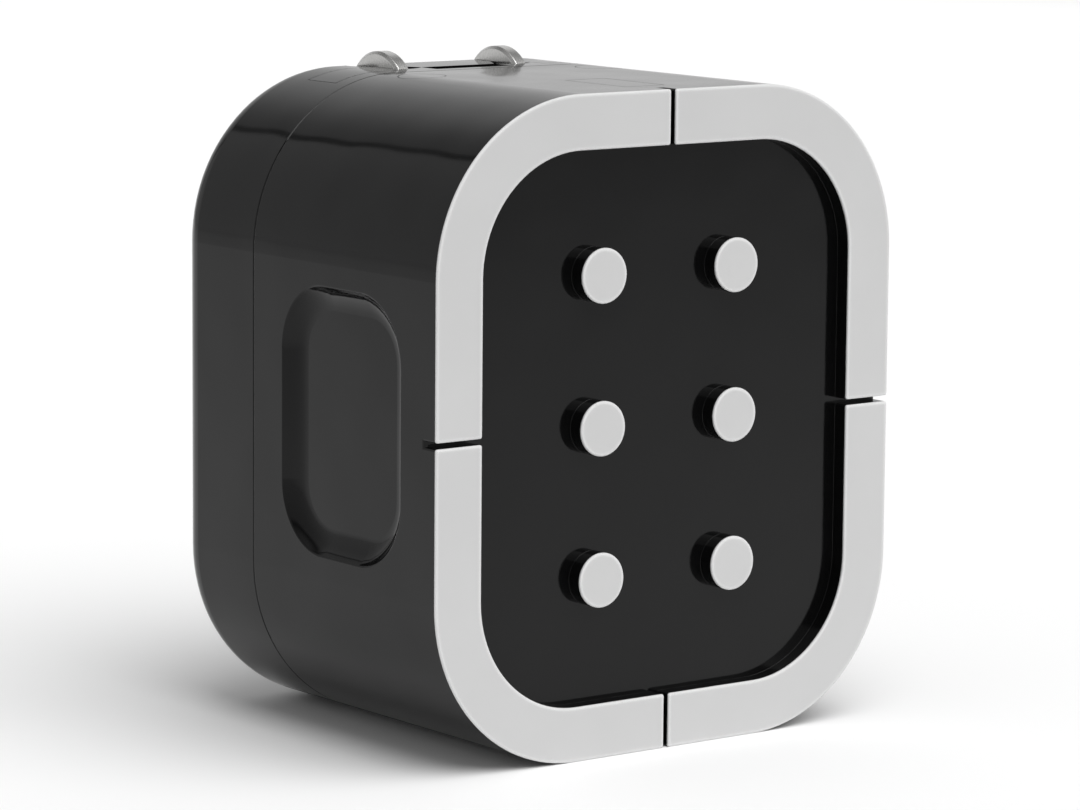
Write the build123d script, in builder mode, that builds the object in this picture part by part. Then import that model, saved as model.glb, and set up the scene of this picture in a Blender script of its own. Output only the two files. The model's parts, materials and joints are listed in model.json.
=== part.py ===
from build123d import *
import os

# Universal travel adapter: a rounded block with sliding plug pins and a combined outlet.
#
# Frame, in millimetres: +X to the right, +Y to the rear, +Z up, origin under the middle of the
# block. The carved front faces -Y, the plug pins leave through the top and the outlet is in the
# bottom.

os.makedirs("parts", exist_ok=True)
CUT = 1.0  # how far a cutting shape runs past the surface that it opens

# ---- outside of the block ----
WIDTH = 48.0
HEIGHT = 55.3
DEPTH = 37.6
KNOB_PROUD = 1.2
CORNER = 14.5
REAR_ROUND = 2.9
WALL = 1.8
MID_Z = HEIGHT / 2
FRONT_Y = -(DEPTH + KNOB_PROUD) / 2
REAR_Y = FRONT_Y + DEPTH
PART_Y = FRONT_Y + 26.15
FINE_EDGE = 0.1

# ---- carved front ----
MODULE = 4.6
RELIEF_DEPTH = 1.5
CAP_THICK = 0.2
CAP_ROUND = 0.12
RIM_CORNER = 0.2
RIM_SEAM = 0.5
FLOOR_ROUND = 0.45
STUD_X = 7.0
STUD_PITCH_Z = 12.65
FLOOR_Y = FRONT_Y + RELIEF_DEPTH
CAP_SEAT_Y = FRONT_Y + CAP_THICK

# ---- inside of the block ----
CAVITY_FRONT_Y = FLOOR_Y + WALL
CAVITY_REAR_Y = REAR_Y - WALL
CAVITY_TOP = HEIGHT - WALL
LIP_DEPTH = 1.5
LIP_THICK = 0.8
LIP_GAP = 0.05
LIP_INSET = WALL + LIP_GAP

# ---- thumb recesses in the two sides ----
RECESS_Y = FRONT_Y + 13.4
RECESS_WIDE = 16.9
RECESS_TALL = 22.6
RECESS_ROUND = 5.8
RECESS_DEPTH = 1.2
RECESS_FLOOR_ROUND = 2.5
RECESS_STEEP = RECESS_FLOOR_ROUND - RECESS_DEPTH
RECESS_FLARE = RECESS_FLOOR_ROUND - (RECESS_FLOOR_ROUND ** 2 - RECESS_STEEP ** 2) ** 0.5
RECESS_BRIM_ROUND = 0.15
PAD_MARGIN = 0.9
PAD_FACE_X = WIDTH / 2 - RECESS_DEPTH - WALL

# ---- case screws ----
SCREW_X = 17.9
SCREW_LOW_Z = 9.4
SCREW_HIGH_Z = 45.9
SCREW_R = 1.1
SCREW_HOLE_R = 1.3
SCREW_HEAD_R = 2.2
SCREW_HEAD = 1.6
SCREW_LENGTH = 20.0
SCREW_SINK = 3.4
SCREW_SINK_R = 2.4
CROSS_LONG = 2.4
CROSS_WIDE = 0.6
CROSS_DEEP = 0.9
POST_R = 2.75
BOSS_R = 3.1
POST_END_Y = PART_Y - LIP_DEPTH - 0.25

# ---- plug pins ----
GAP = 0.15
NOSE_GAP = 0.08
US_X = 6.35
US_Y = FRONT_Y + 32.35
US_THICK = 1.5
US_WIDE = 6.35
US_TIP_R = 4.2
US_PROUD = 1.35
US_TRAVEL = 14.75
US_TWIST = 30.0
TWIST_STEPS = 6
TIP_EDGE = 0.25
JOURNAL_R = 1.1
JOURNAL_GAP = 0.05
COLLAR_R = 1.4
COLLAR = 1.2
REST_X = 4.0
REST_FRONT_Y = FRONT_Y + 27.6
REST_REAR_Y = FRONT_Y + 30.0
REST_DEPTH = 0.25
EU_X = 9.5
EU_Y = 2.8
EU_R = 2.0
EU_CORE_R = 1.5
EU_TRAVEL = 19.0
UK_X = 11.1
UK_Y = 10.7
UK_EARTH_Y = UK_Y - 22.2
UK_WIDE = 6.35
UK_THICK = 4.0
UK_EARTH_LONG = 8.0
UK_TRAVEL = 18.5
SLEEVE_SKIN = 0.6
EU_SLEEVE = 10.0
UK_SLEEVE = 9.0
NOSE = 1.5

# ---- carriages: each top is the level of the pin roots when stowed ----
BLOCK = 5.0
SEAT_DEPTH = 4.0
US_TOP = CAVITY_TOP - 0.2 - US_TRAVEL
EU_TOP = CAVITY_TOP - 1.1 - EU_TRAVEL
UK_TOP = CAVITY_TOP - 2.2 - UK_TRAVEL
ARM_BOTTOM = 18.5
ARM_TOP = 23.5
ARM_REAR_Y = CAVITY_REAR_Y - 0.2
RISER_TOP = 31.0
RISER_IN = 12.2
RISER_OUT = 14.4
ARM_OUT = 18.0
ARM_HALF = 2.2
ARM_CLEAR = 0.4

# ---- slider knobs ----
KNOB_X = 16.5
KNOB_Z = 19.5
KNOB_WIDE = 7.6
KNOB_TALL = 8.0
KNOB_ROUND = 1.6
STEM_WIDE = 3.0
STEM_TALL = 5.0
STEM_BITE = 1.0
KNOB_GAP = 0.1
KNOB_EDGE = 0.5
KNOB_END_GAP = 0.2
GROOVE_PITCH = 1.6
GROOVE_WIDE = 0.7
GROOVE_DEEP = 0.4
GROOVE_LONG = 5.4

# ---- outlet in the bottom ----
PLATE_X = 15.6
PLATE_FRONT_Y = -15.5
PLATE_REAR_Y = 14.9
PLATE_THICK = 4.0
PLATE_ROOM = 0.4
FLANGE_X = 16.4
FLANGE_FRONT = 0.5
FLANGE_REAR = 0.9
FLANGE_ROOM_X = 1.0
FLANGE_ROOM_Z = 1.2
FIT_GAP = 0.1
SLOT_GAP = 0.3
UK_SLOT_Y = 11.5
EARTH_SLOT_Y = UK_SLOT_Y - 22.2
EARTH_SLOT_LONG = 8.2
EU_HOLE_R = 2.5
US_SLOT_Y = -5.0
US_SLOT_WIDE = 2.2
US_SLOT_LONG = 7.4

# ---- contacts, fuse and their carrier ----
CARRIER_BOTTOM = 20.9
CARRIER_THICK = 2.0
CARRIER_X = 20.0
CARRIER_REAR_Y = 12.9
BRASS = 0.8
LEAF = 0.5
LEAF_BOTTOM = 7.0
LEAF_GAP = 0.1
PIN_LEAF_IN = 3.0
ROUND_LEAF_HALF = 2.0
BLADE_LEAF_OFF = 3.2
BLADE_LEAF_HALF = 3.0
EARTH_ROOM_X = 2.5
EARTH_ROOM_Y = 4.5
STRIP_IN = 5.5
STRIP_OUT = 11.9
LEG_FRONT_Y = -8.5
LEG_REAR_Y = -4.5
BUSBAR_TOP = 42.5
BUSBAR_WIDE = 5.0
FUSE_X = 17.2
FUSE_Y = -10.0
FUSE_R = 3.15
FUSE_LOW = 15.0
FUSE_LENGTH = 25.4
FUSE_CAP = 5.0
FUSE_CAP_SKIN = 0.25
CLIP_HALF = 3.75
CLIP_INSET = 0.5
CLIP_MOUTH = 4.8


def upright(y):
    """A vertical plane at depth y, seen from the front: local x is X and local y is Z."""
    return Plane.XZ.offset(-y)


def outline(inset=0.0, mode=Mode.ADD):
    """The block's rounded outline, drawn in an open sketch, moved inward by inset."""
    with Locations((0, MID_Z)):
        RectangleRounded(WIDTH - 2 * inset, HEIGHT - 2 * inset, CORNER - inset, mode=mode)


def slab(x0, x1, y0, y1, z0, z1, mode=Mode.ADD):
    """A straight block between two corners, in an open part."""
    with BuildSketch(Plane.XY.offset(z0)) as base:
        with Locations(((x0 + x1) / 2, (y0 + y1) / 2)):
            Rectangle(x1 - x0, y1 - y0)
    extrude(base.sketch, amount=z1 - z0, mode=mode)


def trim_to_outline(inset=0.0):
    """Keep only what lies inside the block's outline, moved inward by inset."""
    with BuildSketch(upright(REAR_Y)) as section:
        outline(inset)
    extrude(section.sketch, amount=DEPTH, mode=Mode.INTERSECT)


def blade_slot(side, long, wide):
    """The opening that a blade needs, straight and at every angle up to its full twist."""
    for step in range(TWIST_STEPS + 1):
        with Locations(Location((side * US_X, US_Y), -side * US_TWIST * step / TWIST_STEPS)):
            Rectangle(wide, long)


def studs():
    """Two columns of three round studs, about the middle of the front."""
    with Locations((0, MID_Z)):
        with GridLocations(2 * STUD_X, STUD_PITCH_Z, 2, 3):
            Circle(MODULE / 2)


def faces_at(builder, x):
    """The flat faces of a part that lie at x, the smallest first."""
    return builder.faces().filter_by_position(Axis.X, x - 0.01, x + 0.01).sort_by(SortBy.AREA)


def screw_places():
    """The four case screws, in an upright sketch."""
    low = [(-SCREW_X, SCREW_LOW_Z), (SCREW_X, SCREW_LOW_Z)]
    high = [(-SCREW_X, SCREW_HIGH_Z), (SCREW_X, SCREW_HIGH_Z)]
    return Locations(*low, *high)


# ================= shapes that others are cut by or built on =================
# the raised rim: a plain band that follows the edge, split by a fine seam in the middle of each side
with BuildSketch() as rim:
    outline()
    outline(MODULE, Mode.SUBTRACT)
    with Locations((0, MID_Z)):
        Rectangle(RIM_SEAM, HEIGHT, mode=Mode.SUBTRACT)
        Rectangle(WIDTH, RIM_SEAM, mode=Mode.SUBTRACT)
    fillet(rim.vertices().filter_by(lambda v: min(abs(v.X), abs(v.Y - MID_Z)) < MODULE), RIM_CORNER)

with BuildPart() as flange:
    slab(-FLANGE_X, FLANGE_X, PLATE_FRONT_Y - FLANGE_FRONT, PLATE_REAR_Y + FLANGE_REAR,
         0, PLATE_THICK)
    trim_to_outline(LIP_INSET)

with BuildPart() as flange_room:
    slab(-FLANGE_X - FLANGE_ROOM_X, FLANGE_X + FLANGE_ROOM_X, POST_END_Y - CUT, PART_Y + LIP_DEPTH,
         0, PLATE_THICK + FLANGE_ROOM_Z)
    trim_to_outline(WALL)


def thumb_dish(side):
    """The space of one thumb recess: a dish whose walls flare out from its flat floor."""
    floor_x = side * (WIDTH / 2 - RECESS_DEPTH)
    with BuildPart() as dish:
        with BuildSketch(Plane.YZ.offset(floor_x)):
            with Locations((RECESS_Y, MID_Z)):
                RectangleRounded(RECESS_WIDE + 2 * RECESS_FLARE, RECESS_TALL + 2 * RECESS_FLARE,
                                 RECESS_ROUND + RECESS_FLARE)
        extrude(amount=side * (RECESS_FLOOR_ROUND + CUT))
        fillet(faces_at(dish, floor_x)[0].edges(), RECESS_FLOOR_ROUND)
    return dish.part


dishes = {side: thumb_dish(side) for side in (-1, 1)}

# ================= front housing =================
with BuildPart() as front_housing:
    with BuildSketch(upright(PART_Y)):
        outline()
    extrude(amount=PART_Y - FLOOR_Y)
    chamfer(front_housing.faces().sort_by(Axis.Y)[-1].edges(), FINE_EDGE)
    # the floor's edge is rounded all round, and the rim fills that again everywhere but in the seams
    fillet(front_housing.faces().sort_by(Axis.Y)[0].edges(), FLOOR_ROUND)
    with BuildSketch(upright(FLOOR_Y + FLOOR_ROUND)):
        add(rim.sketch)
        studs()
    extrude(amount=FLOOR_ROUND + RELIEF_DEPTH - CAP_THICK)
    with BuildSketch(upright(PART_Y)):
        outline(WALL)
    extrude(amount=PART_Y - CAVITY_FRONT_Y, mode=Mode.SUBTRACT)
    # thicker walls behind the two thumb recesses, then the recesses themselves
    for side in (-1, 1):
        with BuildSketch(Plane.YZ.offset(side * PAD_FACE_X)):
            with Locations((RECESS_Y, MID_Z)):
                RectangleRounded(RECESS_WIDE + 2 * PAD_MARGIN, RECESS_TALL + 2 * PAD_MARGIN,
                                 RECESS_ROUND + PAD_MARGIN)
        extrude(amount=side * (WALL + RECESS_DEPTH / 2))
    for side in (-1, 1):
        add(dishes[side], mode=Mode.SUBTRACT)
        fillet(faces_at(front_housing, side * WIDTH / 2)[-1].inner_wires().edges(), RECESS_BRIM_ROUND)
    # screw posts
    with BuildSketch(upright(POST_END_Y)):
        with screw_places():
            Circle(POST_R)
    extrude(amount=POST_END_Y - CAVITY_FRONT_Y)
    with BuildSketch(upright(POST_END_Y)):
        with screw_places():
            Circle(SCREW_R)
    extrude(amount=SCREW_LENGTH, mode=Mode.SUBTRACT)
    # openings for the round pins and the earth pin
    with BuildSketch(Plane.XY.offset(CAVITY_TOP - CUT)):
        with Locations((-EU_X, EU_Y), (EU_X, EU_Y)):
            Circle(EU_R + NOSE_GAP)
        with Locations((0, UK_EARTH_Y)):
            Rectangle(UK_THICK + 2 * NOSE_GAP, UK_EARTH_LONG + 2 * NOSE_GAP)
    extrude(amount=WALL + 2 * CUT, mode=Mode.SUBTRACT)
    # opening for the outlet plate
    slab(-PLATE_X, PLATE_X, PLATE_FRONT_Y, PART_Y + CUT, -CUT, PLATE_THICK + PLATE_ROOM,
         mode=Mode.SUBTRACT)
front_housing.part.label = "front_housing"
export_step(front_housing.part, "parts/front_housing.step")

# ================= rear housing =================
with BuildPart() as rear_housing:
    with BuildSketch(upright(REAR_Y)):
        outline()
    extrude(amount=REAR_Y - PART_Y)
    fillet(rear_housing.faces().sort_by(Axis.Y)[-1].edges(), REAR_ROUND)
    chamfer(rear_housing.faces().sort_by(Axis.Y)[0].edges(), FINE_EDGE)
    with BuildSketch(upright(CAVITY_REAR_Y)):
        outline(WALL)
    extrude(amount=CAVITY_REAR_Y - PART_Y, mode=Mode.SUBTRACT)
    # lip that slips inside the front housing, open around the outlet plate
    with BuildSketch(upright(PART_Y + LIP_DEPTH)):
        outline(WALL - LIP_GAP)
        outline(LIP_INSET + LIP_THICK, Mode.SUBTRACT)
    extrude(amount=LIP_DEPTH)
    with BuildSketch(upright(PART_Y)):
        outline(LIP_INSET)
        outline(LIP_INSET + LIP_THICK, Mode.SUBTRACT)
    extrude(amount=LIP_DEPTH)
    # screw bosses with sunk heads
    with BuildSketch(upright(CAVITY_REAR_Y + WALL / 2)):
        with screw_places():
            Circle(BOSS_R)
    extrude(amount=CAVITY_REAR_Y + WALL / 2 - PART_Y)
    with BuildSketch(upright(PART_Y)):
        with screw_places():
            Circle(POST_R)
    extrude(amount=PART_Y - POST_END_Y)
    with BuildSketch(upright(REAR_Y)):
        with screw_places():
            Circle(SCREW_HOLE_R)
    extrude(amount=DEPTH, mode=Mode.SUBTRACT)
    with BuildSketch(upright(REAR_Y)):
        with screw_places():
            Circle(SCREW_SINK_R)
    extrude(amount=SCREW_SINK, mode=Mode.SUBTRACT)
    # openings for the flat blades and the line and neutral pins
    with BuildSketch(Plane.XY.offset(CAVITY_TOP - CUT)):
        for side in (-1, 1):
            blade_slot(side, US_WIDE + 2 * GAP, US_THICK + 2 * GAP)
        with Locations((-UK_X, UK_Y), (UK_X, UK_Y)):
            Rectangle(UK_WIDE + 2 * NOSE_GAP, UK_THICK + 2 * NOSE_GAP)
    extrude(amount=WALL + 2 * CUT, mode=Mode.SUBTRACT)
    # slots that the slider knobs run in
    for x, travel in ((-KNOB_X, UK_TRAVEL), (0, US_TRAVEL), (KNOB_X, EU_TRAVEL)):
        slab(x - STEM_WIDE / 2 - 2 * KNOB_GAP, x + STEM_WIDE / 2 + 2 * KNOB_GAP,
             CAVITY_REAR_Y - CUT, REAR_Y + CUT,
             KNOB_Z - STEM_TALL / 2 - KNOB_END_GAP, KNOB_Z + STEM_TALL / 2 + travel + KNOB_END_GAP,
             mode=Mode.SUBTRACT)
    # shallow rest between the blades, and the opening for the outlet plate
    slab(-REST_X, REST_X, REST_FRONT_Y, REST_REAR_Y, HEIGHT - REST_DEPTH, HEIGHT + CUT,
         mode=Mode.SUBTRACT)
    slab(-PLATE_X, PLATE_X, POST_END_Y - CUT, PLATE_REAR_Y, -CUT, PLATE_THICK + PLATE_ROOM,
         mode=Mode.SUBTRACT)
    add(flange_room.part, mode=Mode.SUBTRACT)
rear_housing.part.label = "rear_housing"
export_step(rear_housing.part, "parts/rear_housing.step")

# ================= caps on the carved front =================
for row, z_side in (("top", 1), ("bottom", -1)):
    for column, x_side in (("left", -1), ("right", 1)):
        with BuildPart() as corner_cap:
            with BuildSketch(upright(CAP_SEAT_Y)):
                add(rim.sketch)
                with Locations((x_side * WIDTH / 4, MID_Z + z_side * HEIGHT / 4)):
                    Rectangle(WIDTH / 2, HEIGHT / 2, mode=Mode.INTERSECT)
            extrude(amount=CAP_THICK)
            fillet(corner_cap.faces().sort_by(Axis.Y)[0].edges(), CAP_ROUND)
        name = f"corner_cap_{row}_{column}"
        corner_cap.part.label = name
        export_step(corner_cap.part, f"parts/{name}.step")

with BuildPart() as stud_caps:
    with BuildSketch(upright(CAP_SEAT_Y)):
        studs()
    extrude(amount=CAP_THICK)
    fillet(stud_caps.faces().filter_by(Axis.Y).group_by(Axis.Y)[0].edges(), CAP_ROUND)
stud_caps.part.label = "stud_caps"
export_step(stud_caps.part, "parts/stud_caps.step")

# ================= outlet plate =================
with BuildPart() as outlet_plate:
    slab(-PLATE_X + FIT_GAP, PLATE_X - FIT_GAP, PLATE_FRONT_Y + FIT_GAP, PLATE_REAR_Y - FIT_GAP,
         0, PLATE_THICK)
    trim_to_outline()
    add(flange.part)
    # line and neutral slots, earth slot and round pin holes
    with BuildSketch(Plane.XY):
        with Locations((-UK_X, UK_SLOT_Y), (UK_X, UK_SLOT_Y)):
            Rectangle(UK_WIDE + 2 * SLOT_GAP, UK_THICK + 2 * SLOT_GAP)
        with Locations((0, EARTH_SLOT_Y)):
            Rectangle(UK_THICK + 2 * SLOT_GAP, EARTH_SLOT_LONG)
        with Locations((-EU_X, EU_Y), (EU_X, EU_Y)):
            Circle(EU_HOLE_R)
        for side in (-1, 1):
            for angle in (0, US_TWIST, -US_TWIST):
                with Locations(Location((side * US_X, US_SLOT_Y), angle)):
                    Rectangle(US_SLOT_WIDE, US_SLOT_LONG)
    extrude(amount=PLATE_THICK + CUT, mode=Mode.SUBTRACT)
outlet_plate.part.label = "outlet_plate"
export_step(outlet_plate.part, "parts/outlet_plate.step")

# ================= contact carrier =================
with BuildPart() as contact_carrier:
    slab(-CARRIER_X, CARRIER_X, CAVITY_FRONT_Y + FIT_GAP, CARRIER_REAR_Y,
         CARRIER_BOTTOM, CARRIER_BOTTOM + CARRIER_THICK)
    # room for the two carriage arms, the earth pin of a plug, and the fuse
    slab(-CARRIER_X - CUT, -RISER_IN + ARM_CLEAR, UK_Y - ARM_HALF - ARM_CLEAR, CARRIER_REAR_Y + CUT,
         CARRIER_BOTTOM, RISER_TOP, mode=Mode.SUBTRACT)
    slab(RISER_IN - ARM_CLEAR, CARRIER_X + CUT, EU_Y - ARM_HALF - ARM_CLEAR, CARRIER_REAR_Y + CUT,
         CARRIER_BOTTOM, RISER_TOP, mode=Mode.SUBTRACT)
    slab(-EARTH_ROOM_X, EARTH_ROOM_X, EARTH_SLOT_Y - EARTH_ROOM_Y, EARTH_SLOT_Y + EARTH_ROOM_Y,
         CARRIER_BOTTOM, RISER_TOP, mode=Mode.SUBTRACT)
    with BuildSketch(Plane.XY.offset(CARRIER_BOTTOM)):
        with Locations((FUSE_X, FUSE_Y)):
            Circle(FUSE_R + GAP)
    extrude(amount=CARRIER_THICK, mode=Mode.SUBTRACT)
    # slit for the neutral busbar
    slab(-CARRIER_X - CUT, -CARRIER_X + BRASS, LEG_FRONT_Y, LEG_REAR_Y, CARRIER_BOTTOM, RISER_TOP,
         mode=Mode.SUBTRACT)
contact_carrier.part.label = "contact_carrier"
export_step(contact_carrier.part, "parts/contact_carrier.step")


def socket_contact(side, leg_end):
    """One stamped contact: a strip under the carrier, a leg to the side, and three leaves."""
    top = CARRIER_BOTTOM
    strip_rear_y = UK_SLOT_Y - UK_THICK / 2 - 2 * SLOT_GAP
    x0, x1 = sorted((side * STRIP_IN, side * STRIP_OUT))
    with BuildPart() as contact:
        slab(x0, x1, LEG_FRONT_Y, strip_rear_y, top - BRASS, top)
        leg = sorted((side * STRIP_OUT, side * leg_end))
        slab(leg[0], leg[1], LEG_FRONT_Y, LEG_REAR_Y, top - BRASS, top)
        # leaf beside the line or neutral slot
        slot = sorted((side * (UK_X - PIN_LEAF_IN), side * STRIP_OUT))
        slab(slot[0], slot[1], strip_rear_y - LEAF, strip_rear_y, LEAF_BOTTOM, top)
        # leaf beside the round hole
        hole_side = EU_X - EU_HOLE_R - LEAF_GAP
        hole = sorted((side * hole_side, side * (hole_side - LEAF)))
        slab(hole[0], hole[1], EU_Y - ROUND_LEAF_HALF, EU_Y + ROUND_LEAF_HALF, LEAF_BOTTOM, top)
        # leaf beside the blade slots
        blade_side = US_X + BLADE_LEAF_OFF
        blade = sorted((side * blade_side, side * (blade_side + LEAF)))
        slab(blade[0], blade[1], US_SLOT_Y - BLADE_LEAF_HALF, US_SLOT_Y + BLADE_LEAF_HALF,
             LEAF_BOTTOM, top)
    return contact.part


line_contact = socket_contact(1, FUSE_X - CLIP_HALF)
line_contact.label = "line_contact"
export_step(line_contact, "parts/line_contact.step")
neutral_contact = socket_contact(-1, CARRIER_X + BRASS / 4)
neutral_contact.label = "neutral_contact"
export_step(neutral_contact, "parts/neutral_contact.step")

with BuildPart() as neutral_busbar:
    slab(-CARRIER_X - BRASS, -CARRIER_X - BRASS / 4, LEG_FRONT_Y, LEG_REAR_Y,
         CARRIER_BOTTOM - BRASS, BUSBAR_TOP)
neutral_busbar.part.label = "neutral_busbar"
export_step(neutral_busbar.part, "parts/neutral_busbar.step")

with BuildPart() as line_busbar:
    slab(FUSE_X + CLIP_HALF - BRASS, FUSE_X + CLIP_HALF,
         FUSE_Y + CLIP_HALF, FUSE_Y + CLIP_HALF + BUSBAR_WIDE,
         CARRIER_BOTTOM + CARRIER_THICK + CARRIER_THICK / 2, BUSBAR_TOP)
line_busbar.part.label = "line_busbar"
export_step(line_busbar.part, "parts/line_busbar.step")

# ================= fuse =================
with BuildPart() as fuse_tube:
    with BuildSketch(Plane.XY.offset(FUSE_LOW + FUSE_CAP)):
        with Locations((FUSE_X, FUSE_Y)):
            Circle(FUSE_R - FUSE_CAP_SKIN)
    extrude(amount=FUSE_LENGTH - 2 * FUSE_CAP)
fuse_tube.part.label = "fuse_tube"
export_step(fuse_tube.part, "parts/fuse_tube.step")

FUSE_CAPS_LOW = (FUSE_LOW, FUSE_LOW + FUSE_LENGTH - FUSE_CAP)
with BuildPart() as fuse_caps:
    for low in FUSE_CAPS_LOW:
        with BuildSketch(Plane.XY.offset(low)):
            with Locations((FUSE_X, FUSE_Y)):
                Circle(FUSE_R)
        extrude(amount=FUSE_CAP)
fuse_caps.part.label = "fuse_caps"
export_step(fuse_caps.part, "parts/fuse_caps.step")

with BuildPart() as fuse_clips:
    for low in FUSE_CAPS_LOW:
        slab(FUSE_X - CLIP_HALF, FUSE_X + CLIP_HALF, FUSE_Y - CLIP_HALF, FUSE_Y + CLIP_HALF,
             low + CLIP_INSET, low + FUSE_CAP - CLIP_INSET)
    with BuildSketch(Plane.XY.offset(FUSE_LOW)):
        with Locations((FUSE_X, FUSE_Y)):
            Circle(FUSE_R)
        with Locations((FUSE_X, FUSE_Y - CLIP_HALF)):
            Rectangle(CLIP_MOUTH, 2 * CLIP_HALF)
    extrude(amount=FUSE_LENGTH, mode=Mode.SUBTRACT)
fuse_clips.part.label = "fuse_clips"
export_step(fuse_clips.part, "parts/fuse_clips.step")

# ================= case screws =================
HEAD_SEAT_Y = REAR_Y - SCREW_SINK
with BuildPart() as case_screws:
    with BuildSketch(upright(HEAD_SEAT_Y + SCREW_HEAD)):
        with screw_places():
            Circle(SCREW_HEAD_R)
    extrude(amount=SCREW_HEAD)
    with BuildSketch(upright(HEAD_SEAT_Y)):
        with screw_places():
            Circle(SCREW_R)
    extrude(amount=SCREW_LENGTH)
    with BuildSketch(upright(HEAD_SEAT_Y + SCREW_HEAD)):
        with screw_places():
            Rectangle(CROSS_LONG, CROSS_WIDE)
            Rectangle(CROSS_WIDE, CROSS_LONG)
    extrude(amount=CROSS_DEEP, mode=Mode.SUBTRACT)
case_screws.part.label = "case_screws"
export_step(case_screws.part, "parts/case_screws.step")

# ================= flat blades and their carriage =================
US_SPLIT_Y = UK_Y + UK_THICK / 2 + 0.25
US_BLOCK_FRONT_Y = US_Y - 3.3
US_BLOCK_X = 7.55
US_BAR_X = 9.4
US_ARM_X = 2.5
US_ARM_LOW = KNOB_Z - 3.5
STEM_FRONT_Y = ARM_REAR_Y - STEM_BITE


def stem_bottom(x):
    """The low end of a knob's stem: the two outer arms cut it short."""
    return max(KNOB_Z - STEM_TALL / 2, ARM_BOTTOM if x else 0)


def stem_pocket(x):
    """The pocket in an arm's rear face that takes a knob's stem."""
    slab(x - STEM_WIDE / 2, x + STEM_WIDE / 2, STEM_FRONT_Y, ARM_REAR_Y + CUT,
         stem_bottom(x), KNOB_Z + STEM_TALL / 2, mode=Mode.SUBTRACT)


with BuildPart() as us_carriage:
    slab(-US_BLOCK_X, US_BLOCK_X, US_BLOCK_FRONT_Y, US_SPLIT_Y, US_TOP - BLOCK, US_TOP)
    slab(-US_BAR_X, US_BAR_X, US_SPLIT_Y, ARM_REAR_Y, US_TOP - BLOCK, US_TOP)
    slab(-US_ARM_X, US_ARM_X, US_SPLIT_Y + ARM_CLEAR, ARM_REAR_Y, US_ARM_LOW, US_TOP - BLOCK)
    with BuildSketch(Plane.XY.offset(US_TOP)):
        with Locations((-US_X, US_Y), (US_X, US_Y)):
            Circle(JOURNAL_R + JOURNAL_GAP)
    extrude(amount=-BLOCK, mode=Mode.SUBTRACT)
    stem_pocket(0)
us_carriage.part.label = "us_carriage"
export_step(us_carriage.part, "parts/us_carriage.step")


def flat_blade(x):
    """One flat blade with a rounded tip, on a round journal with a collar under the carriage."""
    root = US_TOP + JOURNAL_GAP
    tip = HEIGHT + US_PROUD
    shoulder = tip - US_TIP_R + (US_TIP_R ** 2 - (US_WIDE / 2) ** 2) ** 0.5
    with BuildPart() as blade:
        with BuildSketch(Plane.YZ.offset(x - US_THICK / 2)):
            with BuildLine():
                Polyline((US_Y - US_WIDE / 2, shoulder), (US_Y - US_WIDE / 2, root),
                         (US_Y + US_WIDE / 2, root), (US_Y + US_WIDE / 2, shoulder))
                ThreePointArc((US_Y + US_WIDE / 2, shoulder), (US_Y, tip),
                              (US_Y - US_WIDE / 2, shoulder))
            make_face()
        extrude(amount=US_THICK)
        chamfer(blade.edges().filter_by(GeomType.CIRCLE), TIP_EDGE)
        with BuildSketch(Plane.XY.offset(root)):
            with Locations((x, US_Y)):
                Circle(JOURNAL_R)
        extrude(amount=-(BLOCK + 3 * JOURNAL_GAP))
        with BuildSketch(Plane.XY.offset(US_TOP - BLOCK - 2 * JOURNAL_GAP)):
            with Locations((x, US_Y)):
                Circle(COLLAR_R)
        extrude(amount=-COLLAR)
    return blade.part


for name, x in (("us_blade_left", -US_X), ("us_blade_right", US_X)):
    blade = flat_blade(x)
    blade.label = name
    export_step(blade, f"parts/{name}.step")

# ================= round pins and their carriage =================
EU_FRONT_Y = EU_Y - ARM_HALF
EU_BACK_Y = EU_Y + ARM_HALF
EU_BLOCK_X = EU_X + 2.3
with BuildPart() as eu_carriage:
    slab(-EU_BLOCK_X, EU_BLOCK_X, EU_FRONT_Y, EU_BACK_Y, EU_TOP - BLOCK, EU_TOP)
    slab(EU_X, RISER_OUT, EU_FRONT_Y, EU_BACK_Y, EU_TOP - BLOCK, RISER_TOP)
    slab(RISER_IN, RISER_OUT, EU_FRONT_Y, EU_BACK_Y, ARM_BOTTOM, RISER_TOP)
    slab(RISER_IN, ARM_OUT, EU_FRONT_Y, EU_BACK_Y, ARM_BOTTOM, ARM_TOP)
    slab(RISER_OUT + ARM_CLEAR, ARM_OUT, EU_Y, ARM_REAR_Y, ARM_BOTTOM, ARM_TOP)
    with BuildSketch(Plane.XY.offset(EU_TOP)):
        with Locations((-EU_X, EU_Y), (EU_X, EU_Y)):
            Circle(EU_CORE_R)
    extrude(amount=-SEAT_DEPTH, mode=Mode.SUBTRACT)
    stem_pocket(KNOB_X)
eu_carriage.part.label = "eu_carriage"
export_step(eu_carriage.part, "parts/eu_carriage.step")

for name, x in (("eu_pin_left", -EU_X), ("eu_pin_right", EU_X)):
    with BuildPart() as eu_pin:
        with BuildSketch(Plane.XY.offset(EU_TOP - SEAT_DEPTH)):
            with Locations((x, EU_Y)):
                Circle(EU_CORE_R)
        extrude(amount=SEAT_DEPTH + EU_SLEEVE)
        with BuildSketch(Plane.XY.offset(EU_TOP + EU_SLEEVE)):
            with Locations((x, EU_Y)):
                Circle(EU_R)
        extrude(amount=HEIGHT - NOSE - EU_TOP - EU_SLEEVE)
    eu_pin.part.label = name
    export_step(eu_pin.part, f"parts/{name}.step")

with BuildPart() as eu_pin_sleeves:
    with BuildSketch(Plane.XY.offset(EU_TOP)):
        with Locations((-EU_X, EU_Y), (EU_X, EU_Y)):
            Circle(EU_R)
            Circle(EU_CORE_R, mode=Mode.SUBTRACT)
    extrude(amount=EU_SLEEVE)
eu_pin_sleeves.part.label = "eu_pin_sleeves"
export_step(eu_pin_sleeves.part, "parts/eu_pin_sleeves.step")

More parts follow.
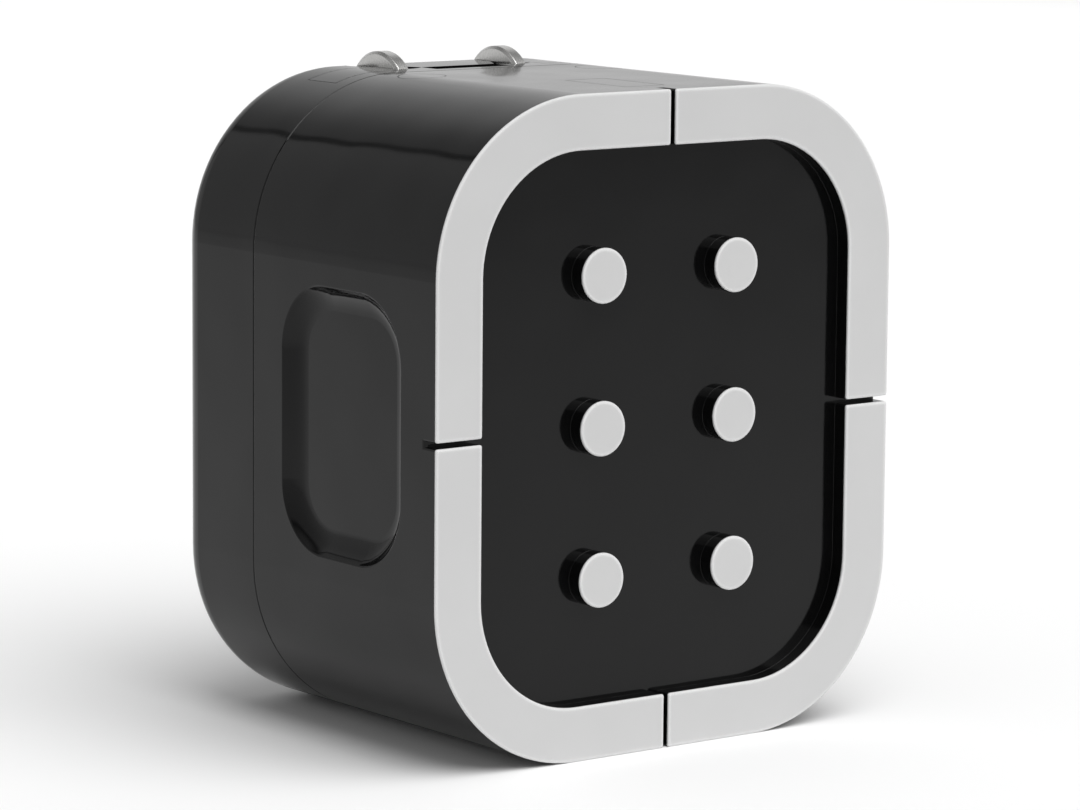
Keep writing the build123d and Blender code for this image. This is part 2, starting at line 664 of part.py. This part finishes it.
with BuildPart() as eu_pin_noses:
    with BuildSketch(Plane.XY.offset(HEIGHT - NOSE)):
        with Locations((-EU_X, EU_Y), (EU_X, EU_Y)):
            Circle(EU_R)
    extrude(amount=NOSE)
    trim_to_outline()
eu_pin_noses.part.label = "eu_pin_noses"
export_step(eu_pin_noses.part, "parts/eu_pin_noses.step")

# ================= rectangular pins and their carriage =================
UK_BLOCK_IN = 7.85
UK_FRONT_Y = UK_Y - ARM_HALF
UK_BACK_Y = UK_Y + ARM_HALF
BRIDGE_Y = EU_BACK_Y + 2 * ARM_CLEAR
EARTH_END_X = 2.4
EARTH_HALF = UK_EARTH_LONG / 2 + 0.2
with BuildPart() as uk_carriage:
    for side in (-1, 1):
        x0, x1 = sorted((side * UK_BLOCK_IN, side * RISER_OUT))
        slab(x0, x1, UK_FRONT_Y, UK_BACK_Y, UK_TOP - BLOCK, UK_TOP)
    slab(-RISER_OUT, RISER_OUT, BRIDGE_Y, UK_FRONT_Y, UK_TOP - BLOCK, UK_TOP)
    slab(-RISER_OUT, -RISER_IN, UK_EARTH_Y - EARTH_HALF, BRIDGE_Y, UK_TOP - BLOCK, UK_TOP)
    slab(-RISER_OUT, EARTH_END_X, UK_EARTH_Y - EARTH_HALF, UK_EARTH_Y + EARTH_HALF,
         UK_TOP - BLOCK, UK_TOP)
    slab(-RISER_OUT, -RISER_IN, UK_FRONT_Y, UK_BACK_Y, ARM_BOTTOM, UK_TOP - BLOCK)
    slab(-ARM_OUT, -RISER_IN, UK_FRONT_Y, ARM_REAR_Y, ARM_BOTTOM, ARM_TOP)
    # seats for the pin roots
    with BuildSketch(Plane.XY.offset(UK_TOP)):
        with Locations((-UK_X, UK_Y), (UK_X, UK_Y)):
            Rectangle(UK_WIDE - 2 * SLEEVE_SKIN, UK_THICK - 2 * SLEEVE_SKIN)
        with Locations((0, UK_EARTH_Y)):
            Rectangle(UK_THICK - 2 * SLEEVE_SKIN, UK_EARTH_LONG - 2 * SLEEVE_SKIN)
    extrude(amount=-SEAT_DEPTH, mode=Mode.SUBTRACT)
    stem_pocket(-KNOB_X)
uk_carriage.part.label = "uk_carriage"
export_step(uk_carriage.part, "parts/uk_carriage.step")

for name, x in (("uk_neutral_pin", -UK_X), ("uk_line_pin", UK_X)):
    with BuildPart() as uk_pin:
        with BuildSketch(Plane.XY.offset(UK_TOP - SEAT_DEPTH)):
            with Locations((x, UK_Y)):
                Rectangle(UK_WIDE - 2 * SLEEVE_SKIN, UK_THICK - 2 * SLEEVE_SKIN)
        extrude(amount=SEAT_DEPTH + UK_SLEEVE)
        with BuildSketch(Plane.XY.offset(UK_TOP + UK_SLEEVE)):
            with Locations((x, UK_Y)):
                Rectangle(UK_WIDE, UK_THICK)
        extrude(amount=HEIGHT - 2 * NOSE - UK_TOP - UK_SLEEVE)
    uk_pin.part.label = name
    export_step(uk_pin.part, f"parts/{name}.step")

with BuildPart() as uk_pin_sleeves:
    with BuildSketch(Plane.XY.offset(UK_TOP)):
        with Locations((-UK_X, UK_Y), (UK_X, UK_Y)):
            Rectangle(UK_WIDE, UK_THICK)
            Rectangle(UK_WIDE - 2 * SLEEVE_SKIN, UK_THICK - 2 * SLEEVE_SKIN, mode=Mode.SUBTRACT)
    extrude(amount=UK_SLEEVE)
uk_pin_sleeves.part.label = "uk_pin_sleeves"
export_step(uk_pin_sleeves.part, "parts/uk_pin_sleeves.step")

with BuildPart() as uk_pin_noses:
    with BuildSketch(Plane.XY.offset(HEIGHT - 2 * NOSE)):
        with Locations((-UK_X, UK_Y), (UK_X, UK_Y)):
            Rectangle(UK_WIDE, UK_THICK)
    extrude(amount=2 * NOSE)
    trim_to_outline()
uk_pin_noses.part.label = "uk_pin_noses"
export_step(uk_pin_noses.part, "parts/uk_pin_noses.step")

with BuildPart() as uk_earth_pin:
    with BuildSketch(Plane.XY.offset(UK_TOP - SEAT_DEPTH)):
        with Locations((0, UK_EARTH_Y)):
            Rectangle(UK_THICK - 2 * SLEEVE_SKIN, UK_EARTH_LONG - 2 * SLEEVE_SKIN)
    extrude(amount=SEAT_DEPTH)
    with BuildSketch(Plane.XY.offset(UK_TOP)):
        with Locations((0, UK_EARTH_Y)):
            Rectangle(UK_THICK, UK_EARTH_LONG)
    extrude(amount=HEIGHT - UK_TOP)
uk_earth_pin.part.label = "uk_earth_pin"
export_step(uk_earth_pin.part, "parts/uk_earth_pin.step")

# ================= slider knobs =================
for name, x in (("uk_knob", -KNOB_X), ("us_knob", 0), ("eu_knob", KNOB_X)):
    with BuildPart() as knob:
        with BuildSketch(upright(REAR_Y + KNOB_PROUD)):
            with Locations((x, KNOB_Z)):
                RectangleRounded(KNOB_WIDE, KNOB_TALL, KNOB_ROUND)
        extrude(amount=KNOB_PROUD - KNOB_GAP)
        fillet(knob.faces().sort_by(Axis.Y)[-1].edges(), KNOB_EDGE)
        # grip grooves across the cap
        with BuildSketch(upright(REAR_Y + KNOB_PROUD)):
            with Locations((x, KNOB_Z)):
                with GridLocations(0, GROOVE_PITCH, 1, 3):
                    Rectangle(GROOVE_LONG, GROOVE_WIDE)
        extrude(amount=GROOVE_DEEP, mode=Mode.SUBTRACT)
        slab(x - STEM_WIDE / 2, x + STEM_WIDE / 2, STEM_FRONT_Y, REAR_Y + KNOB_GAP,
             stem_bottom(x), KNOB_Z + STEM_TALL / 2)
    knob.part.label = name
    export_step(knob.part, f"parts/{name}.step")
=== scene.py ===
"""The looks of the universal travel adapter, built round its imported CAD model.

Lengths are in metres in the frame of the CAD model: +X to the right of the front, +Y to
the rear, +Z up, origin under the middle of the block.
"""
import json
import math

import bpy
from mathutils import Matrix, Vector

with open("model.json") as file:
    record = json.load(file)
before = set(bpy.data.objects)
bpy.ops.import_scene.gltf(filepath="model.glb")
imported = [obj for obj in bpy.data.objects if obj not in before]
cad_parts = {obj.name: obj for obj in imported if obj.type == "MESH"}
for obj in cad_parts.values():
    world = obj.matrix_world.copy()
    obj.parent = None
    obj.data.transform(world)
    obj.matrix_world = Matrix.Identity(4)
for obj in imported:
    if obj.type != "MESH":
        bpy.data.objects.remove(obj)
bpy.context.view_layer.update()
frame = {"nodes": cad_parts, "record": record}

MM = 0.001
NODES = frame["nodes"]
SCENE = bpy.context.scene


# ---------------------------------------------------------------- node helpers
def new_material(name):
    """An empty node material with its shader: (material, nodes, links, shader)."""
    material = bpy.data.materials.new(name)
    material.use_nodes = True
    nodes = material.node_tree.nodes
    links = material.node_tree.links
    nodes.clear()
    shader = nodes.new("ShaderNodeBsdfPrincipled")
    output = nodes.new("ShaderNodeOutputMaterial")
    links.new(shader.outputs["BSDF"], output.inputs["Surface"])
    return material, nodes, links, shader


def stretched_coordinates(nodes, links, stretch):
    """Object coordinates, squeezed along each axis by stretch."""
    where = nodes.new("ShaderNodeTexCoord")
    mapping = nodes.new("ShaderNodeMapping")
    mapping.inputs["Scale"].default_value = stretch
    links.new(where.outputs["Object"], mapping.inputs["Vector"])
    return mapping.outputs["Vector"]


def noise(nodes, links, vector, size, detail=4.0, roughness=0.55):
    """A noise whose patches are about size metres across."""
    texture = nodes.new("ShaderNodeTexNoise")
    texture.inputs["Scale"].default_value = 1.0 / size
    texture.inputs["Detail"].default_value = detail
    texture.inputs["Roughness"].default_value = roughness
    links.new(vector, texture.inputs["Vector"])
    return texture.outputs["Fac"]


def remap(nodes, links, value, low, high, to_low, to_high):
    """value, moved from low..high to to_low..to_high and held there."""
    node = nodes.new("ShaderNodeMapRange")
    node.inputs["From Min"].default_value = low
    node.inputs["From Max"].default_value = high
    node.inputs["To Min"].default_value = to_low
    node.inputs["To Max"].default_value = to_high
    links.new(value, node.inputs["Value"])
    return node.outputs["Result"]


def mix_colour(nodes, links, factor, first, second):
    """A colour between first and second, each a socket or three numbers."""
    node = nodes.new("ShaderNodeMix")
    node.data_type = "RGBA"
    links.new(factor, node.inputs["Factor"])
    for socket, colour in ((node.inputs[6], first), (node.inputs[7], second)):
        if isinstance(colour, tuple):
            socket.default_value = (*colour, 1.0)
        else:
            links.new(colour, socket)
    return node.outputs[2]


def edge_mask(nodes, links, width):
    """1 on edges sharper than about width metres, 0 on flat faces."""
    bevel = nodes.new("ShaderNodeBevel")
    bevel.samples = 4
    bevel.inputs["Radius"].default_value = width
    geometry = nodes.new("ShaderNodeNewGeometry")
    dot = nodes.new("ShaderNodeVectorMath")
    dot.operation = "DOT_PRODUCT"
    links.new(bevel.outputs["Normal"], dot.inputs[0])
    links.new(geometry.outputs["Normal"], dot.inputs[1])
    return remap(nodes, links, dot.outputs["Value"], 0.995, 0.85, 0.0, 1.0)


def bump(nodes, links, height, depth, normal=None):
    """A bump that is depth metres deep."""
    node = nodes.new("ShaderNodeBump")
    node.inputs["Strength"].default_value = 1.0
    node.inputs["Distance"].default_value = depth
    links.new(height, node.inputs["Height"])
    if normal is not None:
        links.new(normal, node.inputs["Normal"])
    return node.outputs["Normal"]


def rounded(nodes, radius):
    """The normal of a surface whose sharp edges are rounded by radius."""
    node = nodes.new("ShaderNodeBevel")
    node.samples = 6
    node.inputs["Radius"].default_value = radius
    return node.outputs["Normal"]


# ---------------------------------------------------------------- materials
SINK_SIZE = 0.011  # the width of the waves in a glossy wall
BRUSH_DEPTH = 0.0000003
GLAZE_DEPTH = 0.000004


def moulded_plastic(name, colour, worn_or_highlit, rough, grain, grain_depth, edge=0.00008, index=1.45,
                    cloudy=0.25, rubbed_or_highlit=(0.42, 0.62), sink=0.0):
    """Moulded plastic with a fine grain, cloudy gloss, hairline scratches and lighter edges:
    rubbed wear in patches, or a painted highlight where the rub range is low and wide.

    sink is the depth, in metres, of the wide shallow waves that cooling leaves in a glossy wall.
    """
    material, nodes, links, shader = new_material(name)
    place = stretched_coordinates(nodes, links, (1, 1, 1))
    streaks_place = stretched_coordinates(nodes, links, (1, 1, 0.05))
    cloud = noise(nodes, links, place, 0.009, detail=3.0)
    fine = noise(nodes, links, place, grain, detail=2.0)
    scratch = noise(nodes, links, streaks_place, 0.00025, detail=2.0)
    rub_or_highlight = noise(nodes, links, place, 0.0012, detail=5.0)

    # edge mask times rub noise: wear in patches, or, where the rub range is low and wide, a
    # painted highlight on nearly every edge
    mask = nodes.new("ShaderNodeMath")
    mask.operation = "MULTIPLY"
    links.new(edge_mask(nodes, links, edge * 1.6), mask.inputs[0])
    links.new(remap(nodes, links, rub_or_highlight, rubbed_or_highlit[0], rubbed_or_highlit[1], 0.0, 0.8), mask.inputs[1])

    dull = tuple(channel * (1 + cloudy) for channel in colour)
    body = mix_colour(nodes, links, remap(nodes, links, cloud, 0.35, 0.7, 0.0, 1.0), colour, dull)
    # edges mixed toward the worn colour: wear, or a painted edge highlight
    links.new(mix_colour(nodes, links, mask.outputs[0], body, worn_or_highlit), shader.inputs["Base Color"])

    gloss = remap(nodes, links, cloud, 0.3, 0.7, rough * 0.85, rough * 1.15)
    scuffs = remap(nodes, links, scratch, 0.58, 0.75, 0.0, 0.06)
    total = nodes.new("ShaderNodeMath")
    total.operation = "ADD"
    links.new(gloss, total.inputs[0])
    links.new(scuffs, total.inputs[1])
    links.new(total.outputs[0], shader.inputs["Roughness"])
    shader.inputs["IOR"].default_value = index

    wall = rounded(nodes, edge)
    if sink:
        waves = noise(nodes, links, place, SINK_SIZE, detail=1.0)
        wall = bump(nodes, links, waves, sink, wall)
    links.new(bump(nodes, links, fine, grain_depth, wall), shader.inputs["Normal"])
    return material


def plated_metal(name, colour, tarnish, rough, brush_axis, edge=0.0001):
    """Plated or bare metal, brushed along one axis, a little tarnished."""
    material, nodes, links, shader = new_material(name)
    stretch = [1.0, 1.0, 1.0]
    stretch[brush_axis] = 0.03
    brushed_place = stretched_coordinates(nodes, links, stretch)
    place = stretched_coordinates(nodes, links, (1, 1, 1))
    brushed = noise(nodes, links, brushed_place, 0.00006, detail=3.0)
    cloud = noise(nodes, links, place, 0.0025, detail=4.0)
    tint = remap(nodes, links, cloud, 0.35, 0.75, 0.0, 1.0)
    links.new(mix_colour(nodes, links, tint, colour, tarnish), shader.inputs["Base Color"])
    shader.inputs["Metallic"].default_value = 1.0
    gloss = remap(nodes, links, brushed, 0.2, 0.8, rough * 0.8, rough * 1.3)
    links.new(gloss, shader.inputs["Roughness"])
    lines = bump(nodes, links, brushed, BRUSH_DEPTH, rounded(nodes, edge))
    links.new(lines, shader.inputs["Normal"])
    return material


def ceramic(name, colour, speck):
    """Glazed ceramic with fine specks under a clear coat."""
    material, nodes, links, shader = new_material(name)
    place = stretched_coordinates(nodes, links, (1, 1, 1))
    specks = noise(nodes, links, place, 0.0004, detail=6.0)
    speckled = remap(nodes, links, specks, 0.5, 0.7, 0.0, 0.5)
    links.new(mix_colour(nodes, links, speckled, colour, speck), shader.inputs["Base Color"])
    shader.inputs["Roughness"].default_value = 0.35
    shader.inputs["Coat Weight"].default_value = 0.5
    links.new(bump(nodes, links, specks, GLAZE_DEPTH), shader.inputs["Normal"])
    return material


BLACK = (0.0022, 0.0022, 0.0023)
BLACK_WORN = (0.015, 0.015, 0.0155)
GLOSSY_INDEX = 1.33
GLOSSY = {"rough": 0.09, "grain": 0.0006, "grain_depth": 0.0000006, "index": GLOSSY_INDEX}
# the lighter cap edge colour is a painted highlight along the caps' rounded edges
CAP_GREY, CAP_PAINTED_EDGE_HIGHLIGHT = (0.52, 0.52, 0.52), (0.84, 0.84, 0.84)
KNOB_GREY, KNOB_EDGE = (0.5, 0.5, 0.5), (0.66, 0.66, 0.66)
OUTLET_BLACK = (0.012, 0.012, 0.0125)
INNER_BLACK, INNER_EDGE = (0.02, 0.02, 0.021), (0.05, 0.05, 0.05)
NICKEL, NICKEL_DULL = (0.66, 0.655, 0.645), (0.60, 0.595, 0.58)
BRASS, BRASS_DULL = (0.72, 0.53, 0.24), (0.5, 0.33, 0.13)
FUSE_METAL, FUSE_METAL_DULL = (0.66, 0.66, 0.65), (0.5, 0.5, 0.49)
SCREW_BLACK, SCREW_DULL = (0.12, 0.12, 0.125), (0.06, 0.06, 0.06)
FUSE_WHITE, FUSE_SPECK = (0.78, 0.76, 0.7), (0.55, 0.5, 0.42)
MATERIALS = {
    "housing_plastic": moulded_plastic("housing_black", BLACK, BLACK_WORN, **GLOSSY,
                                       edge=0.00006, sink=0.00012),
    # the caps' edges take the lighter colour nearly all round: a painted edge highlight
    "light_cap_plastic": moulded_plastic("cap_light_grey", CAP_GREY, CAP_PAINTED_EDGE_HIGHLIGHT, 0.4,
                                         0.00012, 0.0000012, edge=0.0003, cloudy=0.03,
                                         rubbed_or_highlit=(0.1, 0.3)),
    "outlet_plastic": moulded_plastic("outlet_black", OUTLET_BLACK, BLACK_WORN, 0.5,
                                      0.00014, 0.00001),
    "inner_plastic": moulded_plastic("carriage_black", INNER_BLACK, INNER_EDGE, 0.48,
                                     0.0002, 0.000008),
    "knob_plastic": moulded_plastic("knob_light_grey", KNOB_GREY, KNOB_EDGE, 0.45,
                                    0.00014, 0.000005, cloudy=0.06),
    "pin_plastic": moulded_plastic("pin_black", BLACK, BLACK_WORN, **GLOSSY, edge=0.00004),
    "nickel_plated_brass": plated_metal("nickel", NICKEL, NICKEL_DULL, 0.24, 2),
    "contact_brass": plated_metal("brass", BRASS, BRASS_DULL, 0.32, 2),
    "fuse_ceramic": ceramic("fuse_ceramic", FUSE_WHITE, FUSE_SPECK),
    "fuse_cap_metal": plated_metal("fuse_cap", FUSE_METAL, FUSE_METAL_DULL, 0.28, 0),
    "screw_steel": plated_metal("screw_steel", SCREW_BLACK, SCREW_DULL, 0.42, 0),
}


def paint_cad_nodes():
    """Give every CAD node the material of its slot in the record."""
    for entry in frame["record"]["subparts"]:
        mesh = NODES[entry["node"]].data
        mesh.materials.clear()
        mesh.materials.append(MATERIALS[entry["material_slot"]])


paint_cad_nodes()


# ---------------------------------------------------------------- studio
FLOOR_HALF = 6.0
PAINTED_POOL_CENTRE = (0.10, 0.55, 0.0)  # the middle of the pool of light painted onto the floor behind the object
PAINTED_FALLOFF_NEAR, PAINTED_FALLOFF_FAR = 0.62, 1.0  # the distances from it where the floor's painted light falloff starts and stops
LEFT_PAINTED_SHADE_NEAR, LEFT_PAINTED_SHADE_FAR = -0.06, -0.36  # the same along X, for the painted shade out to the left


def studio_floor():
    """A pale floor, far wider than the view, whose colour carries a painted light falloff."""
    half = FLOOR_HALF
    mesh = bpy.data.meshes.new("floor")
    corners = [(-half, -half, 0), (half, -half, 0), (half, half, 0), (-half, half, 0)]
    mesh.from_pydata(corners, [], [(0, 1, 2, 3)])
    floor = bpy.data.objects.new("floor", mesh)
    SCENE.collection.objects.link(floor)
    material, nodes, links, shader = new_material("floor_painted_falloff")
    place = stretched_coordinates(nodes, links, (1, 1, 1))
    cloud = noise(nodes, links, place, 0.4)
    pale = mix_colour(nodes, links, cloud, (0.88, 0.88, 0.88), (0.9, 0.9, 0.9))
    # painted light falloff: the floor's colour darkens away from a wide pool of light behind the
    # object
    offset = nodes.new("ShaderNodeVectorMath")
    offset.operation = "DISTANCE"
    offset.inputs[1].default_value = PAINTED_POOL_CENTRE
    links.new(place, offset.inputs[0])
    painted_falloff = remap(nodes, links, offset.outputs["Value"], PAINTED_FALLOFF_NEAR, PAINTED_FALLOFF_FAR, 0.0, 1.0)
    # painted shade: the colour also darkens, more gently, out to the left
    split = nodes.new("ShaderNodeSeparateXYZ")
    links.new(place, split.inputs["Vector"])
    painted_left_shade = remap(nodes, links, split.outputs["X"], LEFT_PAINTED_SHADE_NEAR, LEFT_PAINTED_SHADE_FAR, 0.0, 1.0)
    floor_with_left_shade = mix_colour(nodes, links, painted_left_shade, pale, (0.6, 0.6, 0.6))
    floor_with_painted_falloff = mix_colour(nodes, links, painted_falloff, floor_with_left_shade, (0.5, 0.5, 0.5))
    links.new(floor_with_painted_falloff, shader.inputs["Base Color"])
    shader.inputs["Roughness"].default_value = 0.9
    mesh.materials.append(material)


GAP_X = -0.15  # the direction, along X, of the gap at the left wall's end
GAP_HALF = 0.022


def studio_world():
    """Bright walls behind and to the right, a dimmer wall to the left, and a dark ceiling."""
    world = bpy.data.worlds.new("studio")
    world.use_nodes = True
    SCENE.world = world
    nodes = world.node_tree.nodes
    links = world.node_tree.links
    where = nodes.new("ShaderNodeTexCoord")
    split = nodes.new("ShaderNodeSeparateXYZ")
    links.new(where.outputs["Generated"], split.inputs["Vector"])

    def fade(height_steps):
        """A grey that follows height_steps: pairs of elevation in degrees and radiance."""
        ramp = nodes.new("ShaderNodeValToRGB")
        elements = ramp.color_ramp.elements
        while len(elements) < len(height_steps):
            elements.new(0.5)
        for element, (elevation, radiance) in zip(elements, height_steps):
            element.position = math.sin(math.radians(elevation))
            element.color = (radiance, radiance, radiance, 1.0)
        links.new(split.outputs["Z"], ramp.inputs["Fac"])
        return ramp.outputs["Color"]

    ceiling = [(48, 0.12), (60, 0.45)]
    left = fade([(0, 0.62), (14, 0.58), (26, 0.53), (40, 0.50)] + ceiling)
    middle = fade([(0, 0.62), (14, 0.55), (22, 0.40), (36, 0.37)] + ceiling)
    right = fade([(0, 0.72), (12, 0.70), (22, 0.76), (36, 0.68)] + ceiling)
    across = nodes.new("ShaderNodeMapRange")
    across.interpolation_type = "SMOOTHSTEP"
    across.inputs["From Min"].default_value = -0.12
    across.inputs["From Max"].default_value = 0.28
    links.new(split.outputs["X"], across.inputs["Value"])
    rear = mix_colour(nodes, links, across.outputs["Result"], middle, right)

    # the left wall ends at an upright gap, which shows as a dark line in glossy plastic
    beside_gap = remap(nodes, links, split.outputs["X"], GAP_X - 0.01, GAP_X + 0.01, 0.0, 1.0)
    walls = mix_colour(nodes, links, beside_gap, left, rear)
    gap = nodes.new("ShaderNodeMath")
    gap.operation = "COMPARE"
    gap.inputs[1].default_value = GAP_X
    gap.inputs[2].default_value = GAP_HALF
    links.new(split.outputs["X"], gap.inputs[0])
    gapped = mix_colour(nodes, links, gap.outputs[0], walls, (0.12, 0.12, 0.12))
    links.new(gapped, nodes["Background"].inputs["Color"])


def sun_light(name, azimuth, elevation, strength, spread):
    """A broad distant light that comes from that azimuth and elevation, in degrees."""
    data = bpy.data.lights.new(name, "SUN")
    data.energy = strength
    data.angle = math.radians(spread)
    light = bpy.data.objects.new(name, data)
    source = direction_to(azimuth, elevation)
    light.rotation_euler = (-source).to_track_quat("-Z", "Y").to_euler()
    SCENE.collection.objects.link(light)


CAMERA_AZIMUTH, CAMERA_ELEVATION, CAMERA_ROLL = -37.42, 8.43, 0.484  # degrees
CAMERA_DISTANCE = 0.3901
CAMERA_TARGET = Vector((-8.45, -12.67, 28.93)) * MM
CAMERA_LENS = 156.6


def direction_to(azimuth, elevation):
    """The direction of that azimuth, from the front, and elevation, in degrees."""
    a, e = math.radians(azimuth), math.radians(elevation)
    return Vector((math.sin(a) * math.cos(e), -math.cos(a) * math.cos(e), math.sin(e)))


def studio_camera():
    """The camera, to the left of the front and a little above it."""
    roll = math.radians(CAMERA_ROLL)
    back = direction_to(CAMERA_AZIMUTH, CAMERA_ELEVATION)
    right = Vector((0, 0, 1)).cross(back).normalized()
    up = back.cross(right)
    rolled_right = right * math.cos(roll) + up * math.sin(roll)
    rolled_up = back.cross(rolled_right)
    data = bpy.data.cameras.new("camera")
    data.sensor_width = 36.0
    data.lens = CAMERA_LENS
    data.clip_start = 0.01
    data.clip_end = 50.0
    camera = bpy.data.objects.new("camera", data)
    axes = Matrix((rolled_right, rolled_up, back)).transposed().to_4x4()
    camera.matrix_world = Matrix.Translation(CAMERA_TARGET + CAMERA_DISTANCE * back) @ axes
    SCENE.collection.objects.link(camera)
    SCENE.camera = camera


studio_floor()
studio_world()
sun_light("key", 8, 60, 2.6, 60)
studio_camera()
SCENE.view_settings.view_transform = "Standard"
